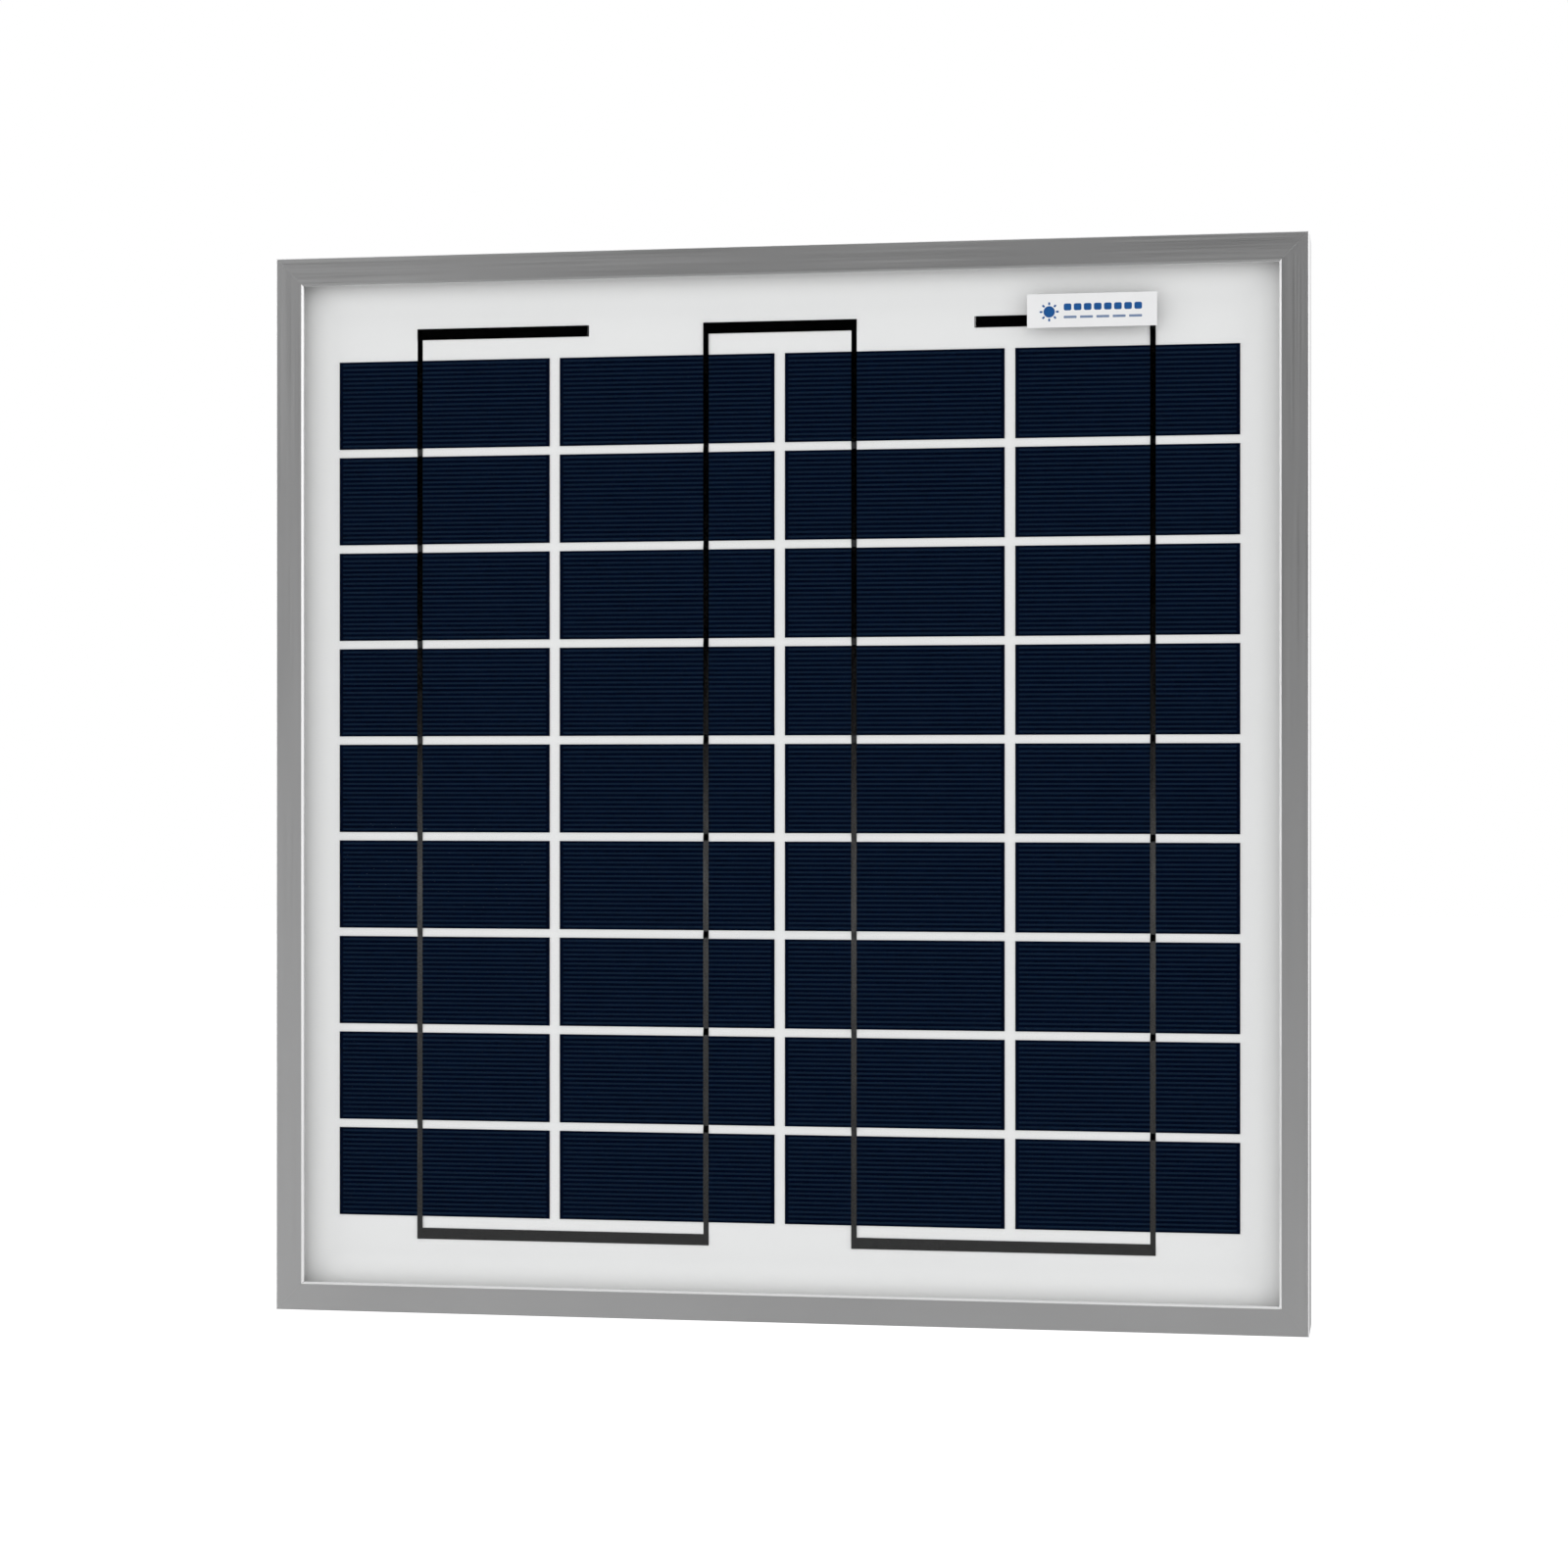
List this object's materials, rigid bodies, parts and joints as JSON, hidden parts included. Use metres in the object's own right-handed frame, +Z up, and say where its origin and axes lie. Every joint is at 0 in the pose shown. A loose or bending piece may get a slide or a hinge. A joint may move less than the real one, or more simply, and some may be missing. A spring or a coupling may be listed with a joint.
{
  "type": "solar panel",
  "caption": "Small framed polycrystalline solar panel with anodised aluminium frame, glass front and hinged rear junction box.",
  "frame": {"origin": "centre of the four mounting holes, on the frame's rear plane", "axes": "X to the right as seen from the glass, +Y out of the back, +Z up"},
  "size_m": [0.306, 0.025, 0.3146],
  "materials": {
    "anodised_frame": "satin",
    "key_aluminium": "satin",
    "sealant": "satin",
    "silicone_adhesive": "satin",
    "solar_glass": "gloss",
    "encapsulant": "gloss",
    "silicon_cell": "gloss",
    "black_ribbon": "gloss",
    "insulator_film": "satin",
    "backsheet_film": "satin",
    "badge_film": "satin",
    "label_film": "satin",
    "box_plastic": "matte",
    "gland_plastic": "satin",
    "seal_rubber": "matte",
    "terminal_brass": "satin",
    "plated_steel": "satin",
    "diode_epoxy": "satin"
  },
  "bodies": {
    "panel": {"backsheet": "backsheet_film", "box_adhesive": "silicone_adhesive", "bus_bar_bottom_left": "black_ribbon", "bus_bar_bottom_right": "black_ribbon", "bus_bar_top_middle": "black_ribbon", "bypass_diode": "diode_epoxy", "cell_ribbons_1": "black_ribbon", "cell_ribbons_2": "black_ribbon", "cell_ribbons_3": "black_ribbon", "cell_ribbons_4": "black_ribbon", "cell_string_1": "silicon_cell", "cell_string_2": "silicon_cell", "cell_string_3": "silicon_cell", "cell_string_4": "silicon_cell", "corner_key_bottom_left": "key_aluminium", "corner_key_bottom_right": "key_aluminium", "corner_key_top_left": "key_aluminium", "corner_key_top_right": "key_aluminium", "edge_sealant": "sealant", "frame_bottom": "anodised_frame", "frame_left": "anodised_frame", "frame_right": "anodised_frame", "frame_top": "anodised_frame", "front_badge": "badge_film", "front_encapsulant": "encapsulant", "front_glass": "solar_glass", "gland_body_left": "gland_plastic", "gland_body_right": "gland_plastic", "gland_cap_left": "gland_plastic", "gland_cap_right": "gland_plastic", "gland_lock_nut_left": "gland_plastic", "gland_lock_nut_right": "gland_plastic", "gland_seal_left": "seal_rubber", "gland_seal_right": "seal_rubber", "hinge_pin": "plated_steel", "junction_box_base": "box_plastic", "lead_insulator": "insulator_film", "output_lead_negative": "black_ribbon", "output_lead_positive": "black_ribbon", "rating_label": "label_film", "rear_encapsulant": "encapsulant", "terminal_negative": "terminal_brass", "terminal_positive": "terminal_brass", "terminal_screws": "plated_steel"},
    "lid": {"junction_box_lid": "box_plastic", "lid_gasket": "seal_rubber"}
  },
  "joints": [
    {"name": "lid_hinge", "type": "hinge", "parent": "panel", "child": "lid", "pos_m": [0, -0.00505, 0.1369], "axis": [1, 0, 0], "range_deg": [0, 95]}
  ]
}
